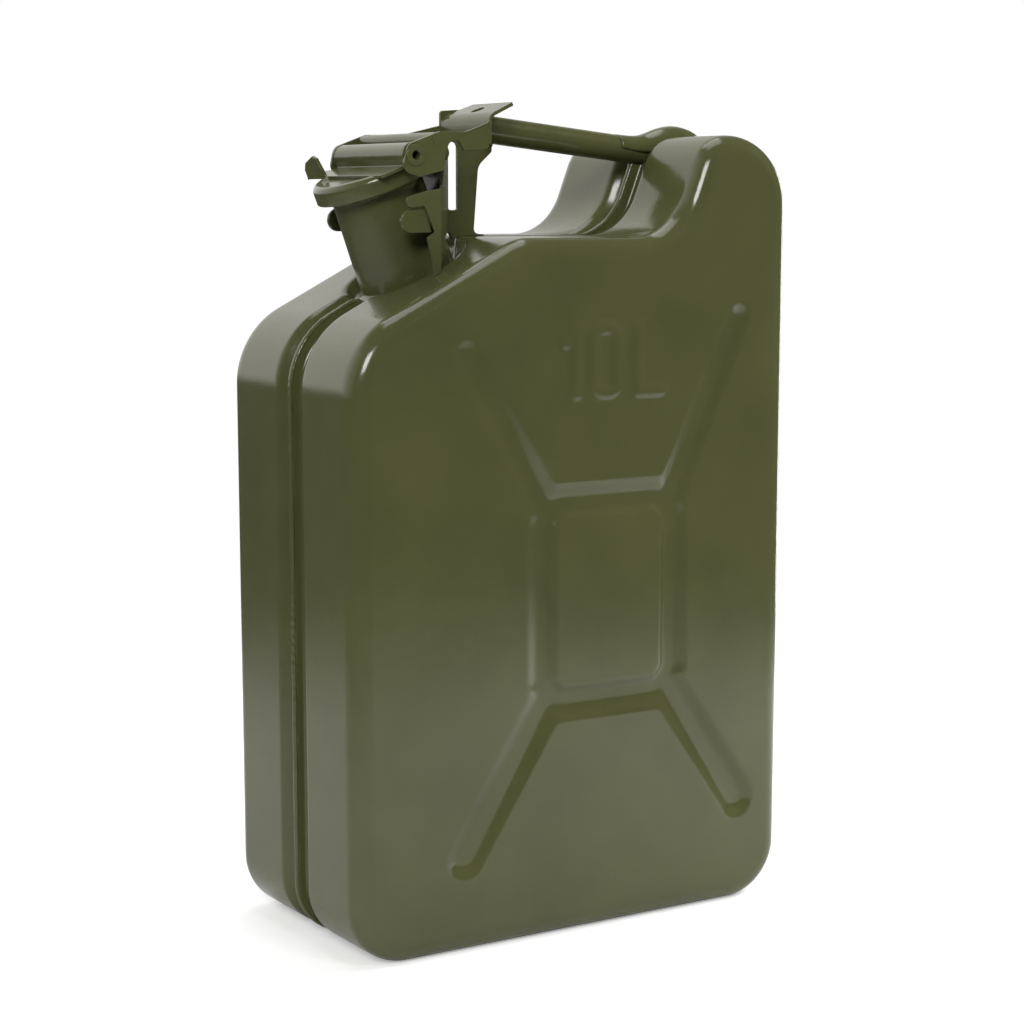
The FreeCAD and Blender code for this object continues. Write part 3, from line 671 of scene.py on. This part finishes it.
def olive_paint(name, peel=0.10, roughness=0.15, wear=0.5):
    """Gloss olive paint with orange peel, slow tone drift, thin edges and a little dust."""
    found = bpy.data.materials.get(name)
    if found:
        return found
    colours = bpy.context.scene.jerry_colours
    material, tree, shader, position = new_material(name)
    link = tree.links.new
    skin = placed_group(tree, paint_skin_group, "paint skin")
    link(position, skin.inputs["Position"])
    base = np.array(colours.paint)
    tone = ranged(tree, skin.outputs["Tone"], 0.0, 1.0, 0.3, 0.7)
    colour = mixed(tree, tone, tuple(base * 0.90), tuple(np.minimum(base * 1.10, 1)))
    edge = placed_group(tree, edge_wear_group, "edge wear")
    link(position, edge.inputs["Position"])
    mask = ranged(tree, edge.outputs["Mask"], 0.0, wear, 0.1, 0.7)
    colour = mixed(tree, mask, colour, tuple(colours.paint_thin))
    dust = placed_group(tree, dust_group, "dust", Amount=0.10)
    link(position, dust.inputs["Position"])
    colour = mixed(tree, dust.outputs["Mask"], colour, (0.42, 0.40, 0.34))
    link(colour, shader.inputs["Base Color"])
    gloss = ranged(tree, skin.outputs["Gloss drift"], roughness * 0.85, roughness * 1.25, 0.3, 0.7)
    link(gloss, shader.inputs["Roughness"])
    bump = node(tree, "ShaderNodeBump", Strength=peel, Distance=0.0004)
    link(skin.outputs["Height"], bump.inputs["Height"])
    link(bump.outputs["Normal"], shader.inputs["Normal"])
    shader.inputs["IOR"].default_value = 1.47
    return material


def plated_steel():
    """Zinc plated steel: fine spangle in tone and roughness."""
    found = bpy.data.materials.get("plated steel")
    if found:
        return found
    material, tree, shader, position = new_material("plated steel")
    spangle = node(tree, "ShaderNodeTexVoronoi", Scale=260.0)
    tree.links.new(position, spangle.inputs["Vector"])
    base = np.array(bpy.context.scene.jerry_colours.steel)
    colour = mixed(tree, spangle.outputs["Color"], tuple(base * 0.85), tuple(base * 1.1))
    tree.links.new(colour, shader.inputs["Base Color"])
    rough = ranged(tree, spangle.outputs["Distance"], 0.28, 0.42)
    tree.links.new(rough, shader.inputs["Roughness"])
    shader.inputs["Metallic"].default_value = 1.0
    return material


def seal_rubber():
    """Matte black rubber with fine moulding grain and a bloom of grey."""
    found = bpy.data.materials.get("seal rubber")
    if found:
        return found
    material, tree, shader, position = new_material("seal rubber")
    grain = node(tree, "ShaderNodeTexNoise", Scale=1500.0, Detail=3.0)
    tree.links.new(position, grain.inputs["Vector"])
    bloom = node(tree, "ShaderNodeTexNoise", Scale=90.0, Detail=3.0)
    tree.links.new(position, bloom.inputs["Vector"])
    base = tuple(bpy.context.scene.jerry_colours.rubber)
    colour = mixed(tree, bloom.outputs["Fac"], base, (0.06, 0.06, 0.06))
    tree.links.new(colour, shader.inputs["Base Color"])
    tree.links.new(ranged(tree, grain.outputs["Fac"], 0.6, 0.85), shader.inputs["Roughness"])
    bump = node(tree, "ShaderNodeBump", Strength=0.3, Distance=0.0001)
    tree.links.new(grain.outputs["Fac"], bump.inputs["Height"])
    tree.links.new(bump.outputs["Normal"], shader.inputs["Normal"])
    return material


# ------------------------------------------------------------------ operators
class PieceOperator:
    """What every piece's operator shares."""
    bl_options = {"REGISTER", "UNDO"}

    @property
    def sizes(self):
        return bpy.context.scene.jerry_sizes


class JERRY_OT_halves(PieceOperator, bpy.types.Operator):
    """Build the two pressed halves"""
    bl_idname = "jerry.halves"
    bl_label = "Pressed halves"

    def execute(self, context):
        paint = olive_paint("body paint")
        make_half("half_near", -1, "shell_near", self.sizes, paint)
        make_half("half_far", 1, "shell_far", self.sizes, paint)
        return {"FINISHED"}


class JERRY_OT_seam(PieceOperator, bpy.types.Operator):
    """Build the weld bead that closes the seam"""
    bl_idname = "jerry.seam"
    bl_label = "Seam weld"

    def execute(self, context):
        points, normals, _ = outline_samples(step=1.2)
        ahead = np.roll(points, -1, axis=0)
        gap = np.hypot(*(ahead - points).T)
        path, face = [], []
        for p, q, n, m, length in zip(points, ahead, normals, np.roll(normals, -1, axis=0), gap):
            parts = max(1, int(length / 1.3))
            t = np.arange(parts)[:, None] / parts
            path.append(p + (q - p) * t)
            face.append(n + (m - n) * t)
        path, face = np.concatenate(path), np.concatenate(face)
        face /= np.linalg.norm(face, axis=1)[:, None]
        run = np.arange(len(path))
        rng = np.random.default_rng(11)
        ripple = 0.10 * np.sin(run * 1.9) + 0.16 * np.convolve(
            rng.uniform(-1, 1, len(run)), np.ones(7) / 3.0, "same")
        sway = 0.35 * np.convolve(rng.uniform(-1, 1, len(run)), np.ones(23) / 8.0, "same")
        turn = np.linspace(0, 2 * math.pi, 12, endpoint=False)
        radius = (self.sizes.bead_radius + ripple)[:, None]
        sink, height, width = 0.9, 0.75, 1.15
        out = -sink + radius * height * np.sin(turn)
        x = path[:, 0][:, None] + face[:, 0][:, None] * out
        z = path[:, 1][:, None] + face[:, 1][:, None] * out
        y = sway[:, None] * 0.5 + radius * width * np.cos(turn)
        cloud = press_pad(np.stack([x, y, z], -1), self.sizes, extra=2.4)
        quads = grid_quads(len(path), len(turn), True, True)[:, ::-1]
        make_piece("seam_weld", cloud, quads, "tank", olive_paint("body paint"),
                   ("seam_bead",))
        return {"FINISHED"}


class JERRY_OT_neck(PieceOperator, bpy.types.Operator):
    """Build the leaning neck, its lip and its foot weld"""
    bl_idname = "jerry.neck"
    bl_label = "Neck"

    def execute(self, context):
        paint = olive_paint("fitting paint", peel=0.14)
        tube = rounded_profile([(22.4, -4, 0), (20.9, 49.9, 0), (22.4, 49.9, 0.4), (22.9, 30, 20),
                                (23.8, 1.5, 3), (23.9, -4, 0)])
        lathe("neck_pipe", tube[::-1], "tank", paint, ("neck_tube",))
        lip = rounded_profile([(20.9, 46.5, 0.3), (23.2, 46.5, 0.3), (26.5, 48.0, 1.2),
                               (26.5, 52.0, 1.3), (20.9, 52.0, 0.8)])
        lathe("neck_lip", lip, "tank", paint, ("neck_rim",))
        self.foot_weld(paint)
        return {"FINISHED"}

    def foot_weld(self, paint, turns=200, leg=2.6):
        """Hollow fillet of uneven weld metal, closed behind by a ring inside the joint."""
        angle = np.linspace(0, 2 * math.pi, turns, endpoint=False)
        rng = np.random.default_rng(5)
        lump = np.convolve(rng.uniform(-1, 1, turns), np.ones(5) / 5, "same") * 0.35
        shape = np.linspace(0, math.pi / 2, 7)[:, None]
        root = np.ones((1, turns))
        radius = np.concatenate([23.6 + (leg + lump) * (1 - np.sin(shape)), 23.1 * root])
        height = np.concatenate([(leg + lump) * (1 - np.cos(shape)) - 0.1, -0.6 * root])
        cloud = np.stack([radius * np.cos(angle), radius * np.sin(angle), height], -1)
        quads = grid_quads(len(radius), turns, True, True)
        make_piece("neck_foot_weld", neck_to_can(cloud), quads, "tank", paint,
                   ("neck_weld",))


class JERRY_OT_bracket(PieceOperator, bpy.types.Operator):
    """Build the hinge bracket, its catch plates and the hinge pin"""
    bl_idname = "jerry.bracket"
    bl_label = "Hinge bracket"

    def execute(self, context):
        paint = olive_paint("fitting paint")
        softened("hinge_bracket", "bracket", paint, 0.35, clamp=False)
        softened("catch_lugs", "catch_plates", paint, 0.6)
        softened("hinge_pin", "hinge_rivet", paint, 0.3)
        return {"FINISHED"}


class JERRY_OT_cap(PieceOperator, bpy.types.Operator):
    """Build the cap and what it holds"""
    bl_idname = "jerry.cap"
    bl_label = "Cap"

    def execute(self, context):
        paint = olive_paint("fitting paint")
        self.cap(paint)
        softened("lid_bridge", "strap", paint, 0.35, clamp=False, shortest=0.05)
        self.finish_as_packed(("lid_seal",), seal_rubber())
        self.finish_as_packed(("seal_retainer", "retainer_rivet", "breather_tube",
                               "breather_clip"), plated_steel())
        return {"FINISHED"}

    def finish_as_packed(self, names, material):
        """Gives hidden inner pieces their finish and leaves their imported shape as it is."""
        for name in names:
            mesh = frame["nodes"][name].data
            mesh.materials.clear()
            mesh.materials.append(material)

    def cap(self, paint):
        """Turned cap: a rolled rim that stands a little above its middle, and a skirt."""
        profile = rounded_profile([(0.6, 56.3, 0), (22.5, 56.3, 1.5), (24.5, 57.6, 1.5),
                                   (29.3, 57.6, 3.4), (29.3, 48.6, 0.5), (28.0, 48.6, 0.5),
                                   (28.0, 55.1, 2.4), (0.6, 55.1, 0)], steps=9)
        lathe("cap", profile[::-1], "lid", paint, ("lid_cap",), turns=160,
              solid=True)


class JERRY_OT_lever(PieceOperator, bpy.types.Operator):
    """Build the lever and its pins"""
    bl_idname = "jerry.lever"
    bl_label = "Lever"

    def execute(self, context):
        paint = olive_paint("fitting paint")
        softened("lever", "lever_plate", paint, 0.3, clamp=False)
        softened("lever_pin", "lever_rivet", paint, 0.35)
        softened("lever_washers", "washers", paint, 0.2)
        softened("lever_crossbar", "spacer", paint, 0.2)
        softened("crossbar_rod", "spacer_rod", paint, 0.3)
        return {"FINISHED"}


class JERRY_OT_handle(PieceOperator, bpy.types.Operator):
    """Build the handle, its flared rear end and its strut"""
    bl_idname = "jerry.handle"
    bl_label = "Handle"

    def execute(self, context):
        paint = olive_paint("fitting paint")
        softened("handle_tube", "grip", paint, 0.4)
        self.flare(paint)
        softened("handle_strut", "strut", paint, 0.4)
        softened("strut_welds", "strut_bead", paint, 0.2)
        return {"FINISHED"}

    def flare(self, paint):
        """Flattened, dished end of the tube over the seam.

        Arched sections stand along the can. Each is an outer and an inner arc, and the
        table's rows between them are smoothed by a running mean.
        """
        table = np.asarray(FLARE)
        x = np.linspace(table[0, 0], table[-1, 0], 61)[:, None]
        rows = [np.interp(x[:, 0], table[:, 0], table[:, k]) for k in (1, 2, 3)]
        window = 7
        crest, half, edge = (
            np.convolve(np.pad(row, window // 2, "reflect", reflect_type="odd"),
                        np.ones(window) / window, "valid")[:, None] for row in rows)
        turn = np.linspace(-math.pi / 2, math.pi / 2, 33)
        skins = []
        for inset in (0.0, FLARE_SHEET):
            width = np.maximum(half - inset, 0.1)
            height = np.maximum(crest - inset - edge, 0.1)
            y = width * np.sin(turn)
            z = edge + height * np.cos(turn) ** 0.8
            skins.append(np.stack([x * np.ones_like(y), y, z], -1))
        sheet = np.concatenate([skins[0], skins[1][:, ::-1]], axis=1)
        count = sheet.shape[1]
        first = np.arange(count)
        last = first + (len(x) - 1) * count
        strips = [grid_quads(len(x), count, wrap_columns=True)]
        for ring, flip in ((first, True), (last, False)):
            outer, inner = ring[:len(turn)], ring[len(turn):][::-1]
            strip = np.stack([outer[:-1], outer[1:], inner[1:], inner[:-1]], -1)
            strips.append(strip[:, ::-1] if flip else strip)
        quads = np.concatenate(strips)[:, ::-1]
        make_piece("flare", sheet, quads, "tank", paint, ("handle_saddle",))


class JERRY_OT_stage(PieceOperator, bpy.types.Operator):
    """Build the pale floor, the soft lights and the camera"""
    bl_idname = "jerry.stage"
    bl_label = "Stage"

    def execute(self, context):
        scene = context.scene
        self.floor()
        self.studio(scene)
        self.lights(scene)
        self.camera(scene)
        scene.view_settings.view_transform = "Standard"
        return {"FINISHED"}

    def camera(self, scene):
        """Long lens that looks down a little at one wide face and the neck's side."""
        camera = bpy.data.cameras.new("camera")
        camera.lens = 80.69
        camera.sensor_width = 36.0
        camera.shift_y = 0.0427
        camera.clip_end = 60.0
        eye = bpy.data.objects.new("camera", camera)
        scene.collection.objects.link(eye)
        azimuth, elevation, reach = math.radians(-32.164), math.radians(8.814), 1.16498
        aim_height = 0.18
        flat = math.cos(elevation)
        eye.location = (math.sin(azimuth) * flat * reach, -math.cos(azimuth) * flat * reach,
                        aim_height + math.sin(elevation) * reach)
        eye.rotation_euler = (math.pi / 2 - elevation, 0.0, azimuth)
        scene.camera = eye

    def floor(self):
        """Round sheet of pale paper that fades out at its rim."""
        radius = np.linspace(0.0, FLOOR_REACH, 24)[1:, None]
        angle = np.linspace(0.0, 2.0 * math.pi, 96, endpoint=False)
        ring = np.stack([radius * np.cos(angle), radius * np.sin(angle), 0.0 * radius * angle], -1)
        quads = grid_quads(len(radius), len(angle), wrap_columns=True)
        mesh = bpy.data.meshes.new("floor")
        mesh.from_pydata(ring.reshape(-1, 3).tolist(), [],
                         quads.tolist() + [list(range(len(angle)))])
        floor = bpy.data.objects.new("floor", mesh)
        bpy.context.scene.collection.objects.link(floor)
        material, tree, shader, position = new_material("floor paper")
        grain = node(tree, "ShaderNodeTexNoise", Scale=3.0, Detail=2.0)
        tree.links.new(position, grain.inputs["Vector"])
        base = np.array(bpy.context.scene.jerry_colours.floor)
        colour = mixed(tree, grain.outputs["Fac"], tuple(base * 0.99), tuple(base))
        tree.links.new(colour, shader.inputs["Base Color"])
        shader.inputs["Roughness"].default_value = 0.9
        length = node(tree, "ShaderNodeVectorMath", operation="LENGTH")
        tree.links.new(position, length.inputs[0])
        seen = ranged(tree, length.outputs["Value"], 1.0, 0.0, FLOOR_REACH * 0.55,
                      FLOOR_REACH * 0.98)
        tree.links.new(seen, shader.inputs["Alpha"])
        path = node(tree, "ShaderNodeLightPath")
        glow = ranged(tree, path.outputs["Is Camera Ray"], 0.0, FLOOR_GLOW)
        shader.inputs["Emission Color"].default_value = (1.0, 1.0, 1.0, 1.0)
        tree.links.new(glow, shader.inputs["Emission Strength"])
        mesh.materials.append(material)

    def studio(self, scene):
        """Dim room with a bright wall behind, white where it is seen directly."""
        world = bpy.data.worlds.new("studio")
        scene.world = world
        world.use_nodes = True
        tree = world.node_tree
        tree.nodes.clear()
        where = node(tree, "ShaderNodeTexCoord")
        turned = node(tree, "ShaderNodeVectorMath", operation="DOT_PRODUCT")
        turned.inputs[1].default_value = ROOM_BRIGHT_SIDE
        tree.links.new(where.outputs["Generated"], turned.inputs[0])
        side = ranged(tree, turned.outputs["Value"], 0.0, 1.0, 0.2, 0.95)
        parts = node(tree, "ShaderNodeSeparateXYZ")
        tree.links.new(where.outputs["Generated"], parts.inputs[0])
        above = ranged(tree, parts.outputs["Z"], 0.0, 1.0, -0.04, 0.04)
        below = ranged(tree, parts.outputs["Z"], 1.0, 0.0, 0.6, 0.85)
        wall = node(tree, "ShaderNodeMath", operation="MULTIPLY")
        tree.links.new(above, wall.inputs[0])
        tree.links.new(below, wall.inputs[1])
        both = node(tree, "ShaderNodeMath", operation="MULTIPLY")
        tree.links.new(side, both.inputs[0])
        tree.links.new(wall.outputs[0], both.inputs[1])
        level = ranged(tree, both.outputs[0], ROOM_DIM, ROOM_BRIGHT)
        room = node(tree, "ShaderNodeBackground", Color=(1.0, 0.985, 0.96, 1.0))
        tree.links.new(level, room.inputs["Strength"])
        paper = node(tree, "ShaderNodeBackground", Color=(1.0, 1.0, 1.0, 1.0), Strength=1.0)
        path = node(tree, "ShaderNodeLightPath")
        mix = node(tree, "ShaderNodeMixShader")
        out = node(tree, "ShaderNodeOutputWorld")
        tree.links.new(path.outputs["Is Camera Ray"], mix.inputs[0])
        tree.links.new(room.outputs[0], mix.inputs[1])
        tree.links.new(paper.outputs[0], mix.inputs[2])
        tree.links.new(mix.outputs[0], out.inputs[0])

    def lights(self, scene):
        """Soft boxes: name, place, size, watts, and the point each looks at."""
        middle = (0.0, 0.0, 0.2)
        boxes = (
            ("key", (-1.5, -1.7, 1.5), (0.8, 0.8), 34.0, middle),
            ("fill", (0.3, -2.0, 1.9), (0.7, 0.7), 12.0, middle),
            ("top", (0.1, 0.4, 1.9), (1.0, 1.4), 12.0, middle),
            ("strip", (1.9, 0.85, 0.25), (0.25, 0.9), 6.0, middle),
            ("low", (0.75, -0.30, 0.6), (0.3, 0.6), 8.0, (0.65, -0.20, 0.0)),
        )
        for name, at, size, watts, target in boxes:
            light = bpy.data.lights.new(name, "AREA")
            light.shape = "RECTANGLE"
            light.size, light.size_y = size
            light.energy = watts
            lamp = bpy.data.objects.new(name, light)
            scene.collection.objects.link(lamp)
            lamp.location = at
            lamp.visible_camera = False
            lamp.visible_glossy = name not in ("fill", "low")
            away = np.array(at) - np.array(target)
            lamp.rotation_euler = (math.acos(away[2] / np.linalg.norm(away)), 0.0,
                                   math.atan2(away[1], away[0]) + math.pi / 2)


class JERRY_PT_panel(bpy.types.Panel):
    """Sidebar panel that lists the can's operators and settings"""
    bl_idname = "JERRY_PT_panel"
    bl_label = "Jerry can"
    bl_space_type = "VIEW_3D"
    bl_region_type = "UI"
    bl_category = "Jerry can"

    def draw(self, context):
        for operator in OPERATORS:
            self.layout.operator(operator.bl_idname)
        for settings in (context.scene.jerry_sizes, context.scene.jerry_colours):
            for key in settings.__annotations__:
                self.layout.prop(settings, key)


OPERATORS = (JERRY_OT_stage, JERRY_OT_halves, JERRY_OT_seam, JERRY_OT_neck, JERRY_OT_bracket,
             JERRY_OT_cap, JERRY_OT_lever, JERRY_OT_handle)
CLASSES = (JerrySizes, JerryColours) + OPERATORS + (JERRY_PT_panel,)


def register():
    for item in CLASSES:
        bpy.utils.register_class(item)
    bpy.types.Scene.jerry_sizes = bpy.props.PointerProperty(type=JerrySizes)
    bpy.types.Scene.jerry_colours = bpy.props.PointerProperty(type=JerryColours)


def unregister():
    del bpy.types.Scene.jerry_colours
    del bpy.types.Scene.jerry_sizes
    for item in reversed(CLASSES):
        bpy.utils.unregister_class(item)


def main():
    register()
    for operator in OPERATORS:
        group, name = operator.bl_idname.split(".")
        getattr(getattr(bpy.ops, group), name)()
    bpy.context.view_layer.update()


if __name__ == "__main__":
    main()
